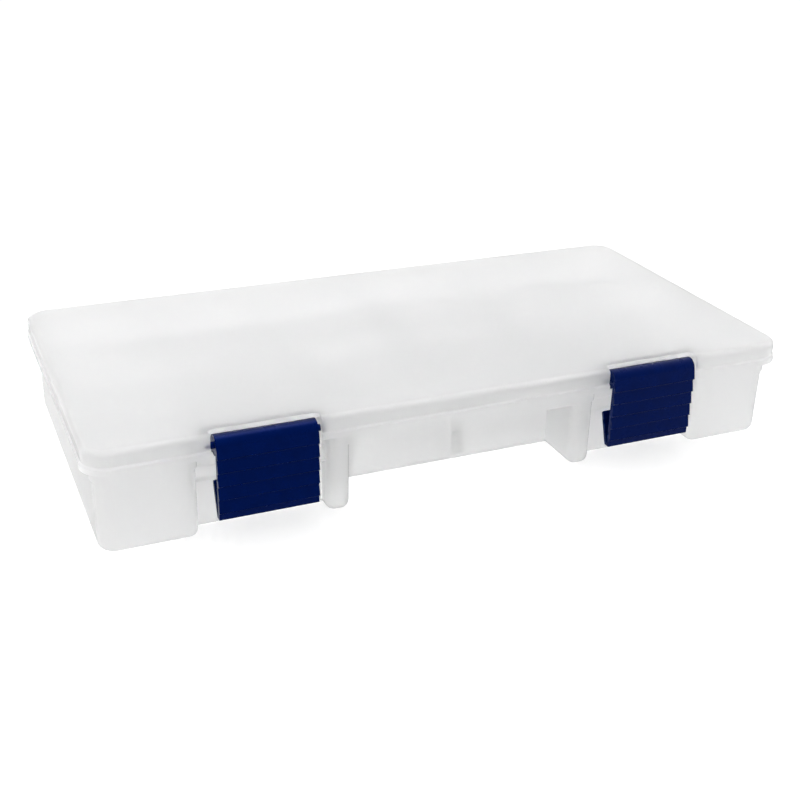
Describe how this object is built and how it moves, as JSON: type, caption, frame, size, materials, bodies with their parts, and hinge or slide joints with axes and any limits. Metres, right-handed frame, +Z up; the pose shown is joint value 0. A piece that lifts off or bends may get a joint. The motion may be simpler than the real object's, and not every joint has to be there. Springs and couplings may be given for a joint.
{
  "type": "tackle tray",
  "caption": "Flat translucent compartment box with a hinged lid, ribbed snap latches on its front and removable cross dividers in long bays.",
  "frame": {"origin": "centre of the lid's outline, on the flat underside that the tray rests on", "axes": "+X to the right along the front, +Y to the hinged back, +Z up through the lid"},
  "size_m": [0.3576, 0.1829, 0.052],
  "materials": {
    "clear_shell": "satin",
    "divider": "satin",
    "latch": "semi-gloss"
  },
  "bodies": {
    "tray": {"base": "clear_shell", "divider_front_1": "divider", "divider_front_2": "divider", "divider_front_3": "divider", "divider_front_4": "divider", "divider_front_5": "divider", "divider_middle_1": "divider", "divider_middle_2": "divider", "divider_middle_3": "divider", "divider_middle_4": "divider", "divider_middle_5": "divider", "divider_back_1": "divider", "divider_back_2": "divider", "divider_back_3": "divider", "divider_back_4": "divider", "divider_back_5": "divider"},
    "lid": {"lid": "clear_shell"},
    "latch_left": {"latch_left": "latch"},
    "latch_right": {"latch_right": "latch"}
  },
  "joints": [
    {"name": "lid_hinge", "type": "hinge", "parent": "tray", "child": "lid", "pos_m": [0, 0.09, 0.0375], "axis": [-1, 0, 0], "range_deg": [0, 180]},
    {"name": "latch_left_hinge", "type": "hinge", "parent": "lid", "child": "latch_left", "pos_m": [-0.0995, -0.084, 0.0456], "axis": [-1, 0, 0], "range_deg": [0, 110]},
    {"name": "latch_right_hinge", "type": "hinge", "parent": "lid", "child": "latch_right", "pos_m": [0.0995, -0.084, 0.0456], "axis": [-1, 0, 0], "range_deg": [0, 110]}
  ]
}
